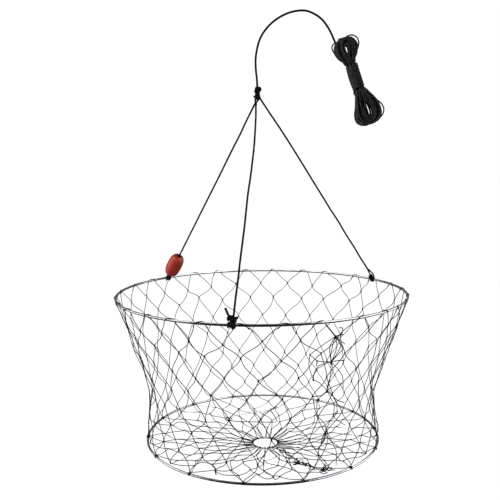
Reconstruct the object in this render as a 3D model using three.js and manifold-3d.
// Folding crab trap: two wire hoops joined by netting, a three-leg cord harness
// with a float, a pull rope with its hank, and a wire bait clip.
// Millimetres, +Z up, origin on the ground on the hoop axis, front towards -Y.
import * as THREE from 'three';
import { mergeVertices } from 'three/addons/utils/BufferGeometryUtils.js';
import Module from 'manifold-3d';

// ---- driving dimensions ----
const DEG = Math.PI / 180;
const WEAR_FLAT = 0.25;          // depth of the flat under each hoop
const HOOP_GAP = 382.7;          // hoop plane to hoop plane
const BOTTOM_R = 304.8;          // lower hoop, centreline radius (24 in hoop)
const BOTTOM_WIRE_R = 2.75;
const BOTTOM_Z = BOTTOM_WIRE_R - WEAR_FLAT;
const TOP_R = 375;               // upper hoop, centreline radius
const TOP_WIRE_R = 3;
const TOP_Z = BOTTOM_Z + HOOP_GAP;
const NET_T = 1.4;               // netting thickness over the knots
const FLOOR_Z = 1;               // underside of the floor netting
const APEX_X = -5;               // harness knot axis, in the plane y = 0
const KNOT_BASE_Z = 872;         // underside of the harness knot
const KNOT_TOP_Z = 915;

// ---- materials ----
const HOOP_STEEL = 0xa9acae;
const TWINE = { color: 0x1a1a1b, roughness: 0.85, metalness: 0 };
const ROPE = { color: 0x141415, roughness: 0.85, metalness: 0 };
const BOTTOM_STEEL = { color: HOOP_STEEL, roughness: 0.32, metalness: 1 };
const TOP_STEEL = { color: HOOP_STEEL, roughness: 0.3, metalness: 1 };
const FLOAT_RED = { color: 0x9c3526, roughness: 0.5, metalness: 0 };
const STAINLESS = { color: 0xb4b6b8, roughness: 0.25, metalness: 1 };

const root = new THREE.Group();
root.name = 'folding_crab_trap';

function add(name, geometry, material) {
  const mesh = new THREE.Mesh(geometry, new THREE.MeshStandardMaterial(material));
  mesh.name = name;
  root.add(mesh);
}

// ---- builders ----
const vec = (x, y, z) => new THREE.Vector3(x, y, z);
const polar = (radius, angle, z) => vec(radius * Math.cos(angle), radius * Math.sin(angle), z);
const smoothCurve = points => new THREE.CatmullRomCurve3(points, false, 'centripetal');

// One closed surface: shared vertices merged, slivers dropped, faces pointing out.
function closed(geometry) {
  geometry.deleteAttribute('normal');
  geometry.deleteAttribute('uv');
  const merged = mergeVertices(geometry, 1e-4);
  const position = merged.getAttribute('position');
  const source = merged.index.array;
  const corner = index => vec(0, 0, 0).fromBufferAttribute(position, index);
  const faces = [];
  let volume = 0;
  for (let i = 0; i < source.length; i += 3) {
    const [a, b, c] = source.slice(i, i + 3);
    if (a === b || b === c || a === c) continue;
    faces.push(a, b, c);
    volume += corner(a).dot(corner(b).cross(corner(c)));
  }
  if (volume < 0) {
    for (let i = 0; i < faces.length; i += 3) {
      [faces[i], faces[i + 1]] = [faces[i + 1], faces[i]];
    }
  }
  merged.setIndex(faces);
  merged.computeVertexNormals();
  return merged;
}

// Profile of [radius, z] turned about Z; it starts and ends on the axis or on itself.
function turned(profile, segments) {
  const points = profile.map(([radius, z]) => new THREE.Vector2(radius, z));
  return closed(new THREE.LatheGeometry(points, segments).rotateX(Math.PI / 2));
}

// Section of [radius, z], closed back to its first point and turned about Z.
const ringSolid = (section, segments) => turned([...section, section[0]], segments);

// Round cord carried along a curve.
function cord(curve, { radius, sides, steps }) {
  const outline = [];
  for (let k = 0; k < sides; k++) {
    const angle = 2 * Math.PI * k / sides;
    outline.push(new THREE.Vector2(radius * Math.cos(angle), radius * Math.sin(angle)));
  }
  const options = { steps, extrudePath: curve, bevelEnabled: false };
  return closed(new THREE.ExtrudeGeometry(new THREE.Shape(outline), options));
}

// Ellipsoid on the origin with the given half-sizes; around and down are segment counts.
function ellipsoid([x, y, z], around, down) {
  return closed(new THREE.SphereGeometry(1, around, down).rotateX(Math.PI / 2).scale(x, y, z));
}

const wasm = await Module();
wasm.setup();

function toManifold(geometry) {
  return new wasm.Manifold(new wasm.Mesh({
    numProp: 3,
    vertProperties: new Float32Array(geometry.getAttribute('position').array),
    triVerts: new Uint32Array(geometry.index.array),
  }));
}

function union(geometries) {
  const joined = geometries.map(toManifold).reduce((sum, part) => sum.add(part));
  const mesh = joined.getMesh();
  const geometry = new THREE.BufferGeometry();
  geometry.setAttribute('position', new THREE.Float32BufferAttribute(mesh.vertProperties, 3));
  geometry.setIndex(Array.from(mesh.triVerts));
  geometry.computeVertexNormals();
  return geometry;
}

// ---- hoops: round wire with a flat underneath ----
function hoop(radius, z, wireR) {
  const arcSteps = 9;
  const flatHalfAngle = Math.acos((wireR - WEAR_FLAT) / wireR);
  const section = [];
  for (let i = 0; i <= arcSteps; i++) {
    const sweep = (2 * Math.PI - 2 * flatHalfAngle) * i / arcSteps;
    const angle = -Math.PI / 2 + flatHalfAngle + sweep;
    section.push([radius + wireR * Math.cos(angle), z + wireR * Math.sin(angle)]);
  }
  return ringSolid(section, 90);
}

// ---- side netting: waisted sleeve between the hoops, open at both ends ----
// [z, mid-thickness radius], bottom to top
const SLEEVE = [
  [9, 304.6], [55, 302.5], [95, 297], [128, 294.5], [165, 300.5],
  [205, 313.5], [288, 342.5], [350, 365], [TOP_Z - 8.2, 373.4],
];

function sideNet() {
  const outer = SLEEVE.map(([z, radius]) => [radius + NET_T / 2, z]);
  const inner = SLEEVE.map(([z, radius]) => [radius - NET_T / 2, z]).reverse();
  return ringSolid([...outer, ...inner], 60);
}

// Radius of the sleeve at a height between its ends.
function sleeveRadius(z) {
  const above = SLEEVE.findIndex(([stationZ]) => z <= stationZ);
  const [lowZ, lowR] = SLEEVE[above - 1];
  const [highZ, highR] = SLEEVE[above];
  return lowR + (z - lowZ) / (highZ - lowZ) * (highR - lowR);
}

// ---- floor netting with its gathered opening ----
const FLOOR_GAP = 2.3;           // floor netting edge to the hoop wire
const GATHER = { x: 7, y: -75, radius: 33, cordR: 1.5, overlap: 2, lift: 0.4 };

function floorNet() {
  const sheet = new THREE.Shape();
  sheet.absarc(0, 0, BOTTOM_R - BOTTOM_WIRE_R - FLOOR_GAP, 0, 2 * Math.PI, false);
  const hole = new THREE.Path();
  hole.absarc(GATHER.x, GATHER.y, GATHER.radius - GATHER.overlap, 0, 2 * Math.PI, true);
  sheet.holes.push(hole);
  const options = { depth: NET_T, bevelEnabled: false, curveSegments: 48 };
  return closed(new THREE.ExtrudeGeometry(sheet, options).translate(0, 0, FLOOR_Z));
}

function gatherCord() {
  const z = FLOOR_Z + NET_T + GATHER.lift + GATHER.cordR;
  return closed(new THREE.TorusGeometry(GATHER.radius, GATHER.cordR, 6, 32))
    .translate(GATHER.x, GATHER.y, z);
}

// ---- lashings: saddles of twine over the lower hoop ----
const LASHING = {
  count: 14,
  firstAzimuth: 4.5,             // degrees
  width: 8,                      // along the hoop
  innerGap: 0.4,                 // inner face to the wire
  outerGap: 1.8,                 // outer face to the wire
  startAngle: -28 * DEG,
  endAngle: 208 * DEG,
};

function lashing(index) {
  const { count, firstAzimuth, width, innerGap, outerGap, startAngle, endAngle } = LASHING;
  const saddle = new THREE.Shape();
  saddle.absarc(0, 0, BOTTOM_WIRE_R + outerGap, startAngle, endAngle, false);
  saddle.absarc(0, 0, BOTTOM_WIRE_R + innerGap, endAngle, startAngle, true);
  const options = { depth: width, bevelEnabled: false, curveSegments: 5 };
  return closed(new THREE.ExtrudeGeometry(saddle, options)
    .translate(0, 0, -width / 2)
    .rotateX(90 * DEG)
    .translate(BOTTOM_R, 0, BOTTOM_Z)
    .rotateZ((firstAzimuth + 360 / count * index) * DEG));
}

// ---- lacings that close the netting ----
const SIDE_LACING = {
  azimuth: -64,                  // degrees
  wander: 0.35,                  // sideways wander, degrees
  wanderStep: 1.3,               // wander phase per step, radians
  startZ: 14,
  endZ: TOP_Z - 13,
  standOff: 3.6,                 // cord centreline to the outside of the sleeve
  steps: 26,
  knotsAt: [0.2, 0.36, 0.54, 0.74, 0.91],   // fractions of its length
  knotSize: [2.9, 2.9, 4.2],
};
const FLOOR_LACING_Z = 4.8;
// [x, y], from the rim inwards
const FLOOR_LACING = [
  [139.6, -238.2], [121, -224], [97.6, -210.3], [80, -180], [60, -140], [41, -110],
];

// Cord along a curve with knots at fractions of its length.
function knottedCord(curve, cordSize, knotsAt, knotSize) {
  const knots = knotsAt.map(fraction => {
    const { x, y, z } = curve.getPointAt(fraction);
    return ellipsoid(knotSize, 8, 6).translate(x, y, z);
  });
  return union([cord(curve, cordSize), ...knots]);
}

function sideLacing() {
  const { azimuth, wander, wanderStep, startZ, endZ, standOff, steps } = SIDE_LACING;
  const points = [];
  for (let i = 0; i <= steps; i++) {
    const z = startZ + (endZ - startZ) * i / steps;
    const angle = (azimuth + wander * Math.sin(i * wanderStep)) * DEG;
    points.push(polar(sleeveRadius(z) + NET_T / 2 + standOff, angle, z));
  }
  const cordSize = { radius: 1.5, sides: 6, steps };
  return knottedCord(smoothCurve(points), cordSize, SIDE_LACING.knotsAt, SIDE_LACING.knotSize);
}

function floorLacing() {
  const curve = smoothCurve(FLOOR_LACING.map(([x, y]) => vec(x, y, FLOOR_LACING_Z)));
  return knottedCord(curve, { radius: 1.2, sides: 6, steps: 12 }, [0.04, 0.3], [3.4, 2.6, 2]);
}

// ---- harness: ties on the upper hoop, legs and knot ----
const TIES = [
  { side: 'left', azimuth: 137.5 },
  { side: 'front', azimuth: 260.75, longKnot: true },
  { side: 'right', azimuth: 31 },
];
const AIM_HEIGHT = 18;           // the ties lean to this height above the knot's underside
const TIE_KNOT_OFFSET = 6.2;     // hoop wire to the centre of the tie's knot
const LEG_OFFSET = 11.4;         // hoop wire to the foot of the leg
const LEG_SPREAD = 6.5;          // head of the leg from the knot axis
const LEG_GAP = 1;               // head of the leg below the harness knot
// [radius beyond the hoop wire, z along the hoop]
const TIE_BAND = [
  [0.5, -4.5], [0.5, 4.5], [3.4, 4], [4.2, 1.5], [3.4, 0], [4.2, -1.5], [3.4, -4],
];
// [radius, height above the knot's underside]
const KNOT_PROFILE = [
  [0, 0], [5.5, 0.6], [7.4, 6], [6.2, 12], [7.6, 18], [9, 24], [8.4, 30], [8.6, 36],
  [7, KNOT_TOP_Z - KNOT_BASE_Z - 2], [3.5, KNOT_TOP_Z - KNOT_BASE_Z],
  [0, KNOT_TOP_Z - KNOT_BASE_Z],
];

// Points and directions shared by one tie and its leg.
function harnessLine(azimuth) {
  const angle = azimuth * DEG;
  const seat = polar(TOP_R, angle, TOP_Z);
  const direction = vec(APEX_X, 0, KNOT_BASE_Z + AIM_HEIGHT).sub(seat).normalize();
  const foot = seat.clone().addScaledVector(direction, TOP_WIRE_R + LEG_OFFSET);
  const head = polar(LEG_SPREAD, angle, KNOT_BASE_Z - LEG_GAP).add(vec(APEX_X, 0, 0));
  return { seat, direction, foot, head, tangent: vec(-Math.sin(angle), Math.cos(angle), 0) };
}

// Two turns of cord round the hoop, drawn together into a knot above it.
function tie({ seat, direction, tangent }, longKnot) {
  const across = tangent.clone().cross(direction);
  const frame = new THREE.Matrix4().makeBasis(direction, across, tangent);
  const section = TIE_BAND.map(([beyond, z]) => [TOP_WIRE_R + beyond, z]);
  const band = ringSolid(section, 16).applyMatrix4(frame);
  const knot = longKnot
    ? ellipsoid([4.9, 7, 10], 14, 9).applyMatrix4(frame)
    : ellipsoid([5, 5, 5], 12, 8);
  const offset = direction.clone().multiplyScalar(TOP_WIRE_R + TIE_KNOT_OFFSET);
  knot.translate(offset.x, offset.y, offset.z);
  return union([band, knot]).translate(seat.x, seat.y, seat.z);
}

function leg({ foot, head }) {
  return cord(new THREE.LineCurve3(foot, head), { radius: 1.75, sides: 8, steps: 1 });
}

function harnessKnot() {
  const profile = KNOT_PROFILE.map(([radius, height]) => [radius, KNOT_BASE_Z + height]);
  return union([
    turned(profile, 14),
    ellipsoid([4.6, 4.6, 4.6], 10, 7).translate(7.2, -1, KNOT_TOP_Z - 10),
    ellipsoid([3.8, 3.8, 4.2], 10, 7).translate(-6.6, -1, KNOT_BASE_Z + 20),
  ]).translate(APEX_X, 0, 0);
}

// ---- float: bored barrel with full round shoulders, on the left leg ----
const FLOAT = {
  length: 74,
  radius: 21.5,
  holeR: 3,
  mouthR: 5.8,                   // the hole flares to this radius at each end
  roundness: 2.9,                // superellipse exponent of the barrel
  endCut: 0.985,                 // fraction of the superellipse kept before the flat ends
  steps: 18,
  overhang: 1.7,                 // lower end beyond the foot of the leg
};

function legFloat({ foot, head }) {
  const { length, radius, holeR, mouthR, roundness, endCut, steps } = FLOAT;
  const flareR = holeR + 0.8;
  const flareDepth = 2.2;
  const boreInset = 4.5;
  const section = [
    [holeR, boreInset], [holeR, length - boreInset],
    [flareR, length - flareDepth], [mouthR, length],
  ];
  const fullHalf = length / 2 / endCut;
  for (let i = 0; i <= steps; i++) {
    const along = endCut * Math.cos(Math.PI * i / steps);
    const barrelR = radius * Math.pow(1 - Math.pow(Math.abs(along), roundness), 1 / roundness);
    section.push([barrelR, length / 2 + along * fullHalf]);
  }
  section.push([mouthR, 0], [flareR, flareDepth]);

  const axis = head.clone().sub(foot).normalize();
  const start = foot.clone().addScaledVector(axis, -FLOAT.overhang);
  return ringSolid(section, 24)
    .applyQuaternion(new THREE.Quaternion().setFromUnitVectors(vec(0, 0, 1), axis))
    .translate(start.x, start.y, start.z);
}

// ---- pull rope: rises from the knot and arches over to the hank ----
// [x, z] in the plane y = 0
const ROPE_PATH = [
  [APEX_X, KNOT_TOP_Z + 0.9], [-5.8, 931], [-8.2, 956], [-8.4, 981], [-4.6, 1005.5],
  [4, 1032], [20.5, 1056], [44, 1076.5], [74, 1091.3], [99, 1096.7], [119, 1096.2],
  [139, 1088.5], [158, 1075], [174, 1054], [183, 1037], [189.5, 1022],
];

function pullRope() {
  const curve = smoothCurve(ROPE_PATH.map(([x, z]) => vec(x, 0, z)));
  return cord(curve, { radius: 2, sides: 8, steps: 40 });
}

// ---- hank: coils drawn in at the waist, and the turns wound round it ----
const HANK_TOP = vec(210.2, 0, 1032.9);
const HANK_END = vec(282.8, 0, 814.1);
const HANK_L = HANK_TOP.distanceTo(HANK_END);
// [radius, distance from the lower end]
const HANK_PROFILE = [
  [0, 0], [14, 2.5], [26, 12], [33, 27], [34.5, 40], [31, 57], [24, 74], [16.5, 90],
  [12.6, 97], [12.2, 120], [12.2, 145], [12.6, 158], [19.5, 168], [27, 184], [32, 200],
  [31, 213], [25, HANK_L - 7], [13, HANK_L - 1.5], [0, HANK_L],
];
const WRAP_SECTION = [
  [13, 99], [13, 156], [15.6, 156], [16.6, 153], [17, 128], [16.6, 102], [15.6, 99],
];

// Flattens a turned piece in Y and lays it along the hank.
function placeOnHank(geometry, flattening) {
  const axis = HANK_TOP.clone().sub(HANK_END).normalize();
  return geometry
    .scale(1, flattening, 1)
    .applyQuaternion(new THREE.Quaternion().setFromUnitVectors(vec(0, 0, 1), axis))
    .translate(HANK_END.x, HANK_END.y, HANK_END.z);
}

// ---- bait clip: coil with two arms, the arm passing through the frame's hook ----
const CLIP = { x: -95, y: 92, z: 4.3, heading: -78 * DEG };   // coil centre
const CLIP_WIRE_R = 1.15;
const COIL = { radius: 9.6, pitch: 3 };
const HOOK = { across: -43.6, along: 131.8, radius: 3 };
const HOOK_Z = CLIP.z + HOOK.radius;
const CORNER = { across: 36.5, along: 121.5, radius: 10 };
// [across, along] from the coil centre
const CLIP_BAR = [[-36, 132.2], [-20, 132.4], [0, 132.4], [20, 132], [30, 131.4]];
const CLIP_RETURN = [[42.6, 100], [30, 60], [18, 22]];
// [across, along, z]
const CLIP_ARM = [
  [-17, 26, CLIP.z + 4.4], [-28, 70, CLIP.z + 3.6], [-39.5, 118, HOOK_Z],
  [-42.6, 132, HOOK_Z], [-45.2, 137, HOOK_Z], [-65, 155, HOOK_Z],
];

function clipPoint(across, along, z) {
  const cos = Math.cos(CLIP.heading);
  const sin = Math.sin(CLIP.heading);
  return vec(CLIP.x + across * cos - along * sin, CLIP.y + across * sin + along * cos, z);
}

// Coil points between two turn counts; the coil stays level before turn zero.
function coilPoints(fromTurn, toTurn, steps) {
  const points = [];
  for (let i = 0; i <= steps; i++) {
    const turn = fromTurn + (toTurn - fromTurn) * i / steps;
    const angle = -2 * Math.PI * turn;
    const z = CLIP.z + COIL.pitch * Math.max(0, turn);
    points.push(clipPoint(COIL.radius * Math.cos(angle), COIL.radius * Math.sin(angle), z));
  }
  return points;
}

// Hook folded over the arm, bar, rounded corner, return leg, then the lower coil.
function clipFrame() {
  const level = ([across, along]) => clipPoint(across, along, CLIP.z);
  const path = [clipPoint(-37, HOOK.along, HOOK_Z + HOOK.radius)];
  for (let i = 0; i <= 6; i++) {
    const angle = Math.PI / 2 + Math.PI * i / 6;
    const across = HOOK.across + HOOK.radius * Math.cos(angle);
    path.push(clipPoint(across, HOOK.along, HOOK_Z + HOOK.radius * Math.sin(angle)));
  }
  path.push(...CLIP_BAR.map(level));
  for (let i = 1; i <= 5; i++) {
    const angle = (90 - 100 * i / 5) * DEG;
    const across = CORNER.across + CORNER.radius * Math.cos(angle);
    path.push(level([across, CORNER.along + CORNER.radius * Math.sin(angle)]));
  }
  path.push(...CLIP_RETURN.map(level), ...coilPoints(-0.04, 0.86, 26));
  return cord(smoothCurve(path), { radius: CLIP_WIRE_R, sides: 8, steps: 84 });
}

function clipArm() {
  const path = [...coilPoints(0.92, 1.5, 18), ...CLIP_ARM.map(point => clipPoint(...point))];
  return cord(smoothCurve(path), { radius: CLIP_WIRE_R, sides: 8, steps: 40 });
}

// ---- assembly ----
add('bottom_ring', hoop(BOTTOM_R, BOTTOM_Z, BOTTOM_WIRE_R), BOTTOM_STEEL);
add('top_ring', hoop(TOP_R, TOP_Z, TOP_WIRE_R), TOP_STEEL);
add('side_net', sideNet(), TWINE);
add('floor_net', floorNet(), TWINE);
add('gather_cord', gatherCord(), TWINE);
for (let k = 0; k < LASHING.count; k++) {
  add(`bottom_lashing_${String(k + 1).padStart(2, '0')}`, lashing(k), TWINE);
}
add('side_seam_lacing', sideLacing(), TWINE);
add('floor_seam_lacing', floorLacing(), TWINE);
for (const { side, azimuth, longKnot } of TIES) {
  const line = harnessLine(azimuth);
  add(`tie_${side}`, tie(line, longKnot), ROPE);
  add(`leg_${side}`, leg(line), ROPE);
  if (side === 'left') add('float', legFloat(line), FLOAT_RED);
}
add('harness_knot', harnessKnot(), ROPE);
add('pull_rope', pullRope(), ROPE);
add('rope_hank', placeOnHank(turned(HANK_PROFILE, 20), 0.62), ROPE);
add('hank_wrap', placeOnHank(ringSolid(WRAP_SECTION, 20), 0.72), ROPE);
add('bait_clip_frame', clipFrame(), STAINLESS);
add('bait_clip_arm', clipArm(), STAINLESS);

export default root;
